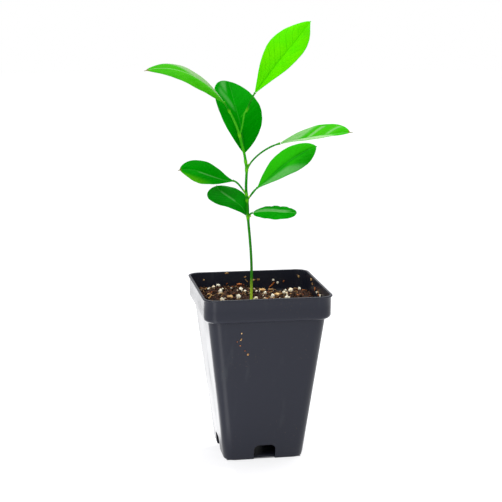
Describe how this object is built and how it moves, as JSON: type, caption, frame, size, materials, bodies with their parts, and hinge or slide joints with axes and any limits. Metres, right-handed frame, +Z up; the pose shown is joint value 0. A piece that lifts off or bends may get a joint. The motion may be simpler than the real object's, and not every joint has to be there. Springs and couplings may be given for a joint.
{
  "type": "potted calamondin plant",
  "caption": "Young calamondin citrus shoot with glossy oval leaves on a thin forked stem, standing in a square tapered nursery pot filled with peaty mix.",
  "frame": {"origin": "centre of the pot's flat underside, on the surface it stands on", "axes": "+Z up along the pot, +X towards the side the arched leaf reaches to, -Y towards the side most blades turn their faces to"},
  "size_m": [0.1357, 0.0876, 0.2953],
  "materials": {
    "pot_plastic": "satin",
    "peat_mix": "matte",
    "green_bark": "satin",
    "leaf_stalk": "satin",
    "leaf_dark": "satin",
    "leaf_fresh": "satin",
    "leaf_lime": "satin",
    "bud": "satin",
    "perlite": "matte",
    "bark_orange": "matte",
    "bark_tan": "matte"
  },
  "bodies": {
    "root": {"pot": "pot_plastic", "potting_mix": "peat_mix", "stem": "green_bark", "petiole_low_left": "leaf_stalk", "petiole_low_right": "leaf_stalk", "petiole_middle_right": "leaf_stalk", "petiole_middle_left": "leaf_stalk", "petiole_arched_right": "leaf_stalk", "petiole_back": "leaf_stalk", "petiole_top_left": "leaf_stalk", "petiole_top_right": "leaf_stalk", "leaf_low_left": "leaf_dark", "leaf_low_right": "leaf_dark", "leaf_middle_right": "leaf_dark", "leaf_middle_left": "leaf_dark", "leaf_arched_right": "leaf_fresh", "leaf_back": "leaf_dark", "leaf_top_left": "leaf_fresh", "leaf_top_right": "leaf_lime", "bud_low_right": "bud", "bud_middle_right": "bud", "bud_middle_left": "bud", "bud_arched_right": "bud", "perlite_01": "perlite", "perlite_02": "perlite", "perlite_03": "perlite", "perlite_04": "perlite", "perlite_05": "perlite", "perlite_06": "perlite", "perlite_07": "perlite", "perlite_08": "perlite", "perlite_09": "perlite", "perlite_10": "perlite", "perlite_11": "perlite", "perlite_12": "perlite", "perlite_13": "perlite", "perlite_14": "perlite", "perlite_15": "perlite", "perlite_16": "perlite", "perlite_17": "perlite", "perlite_18": "perlite", "perlite_19": "perlite", "perlite_20": "perlite", "bark_chip_1": "bark_orange", "bark_chip_2": "bark_tan", "bark_chip_3": "bark_tan", "bark_chip_4": "bark_tan", "bark_chip_5": "bark_orange", "fibre_1": "bark_tan", "fibre_2": "bark_tan"}
  },
  "joints": []
}
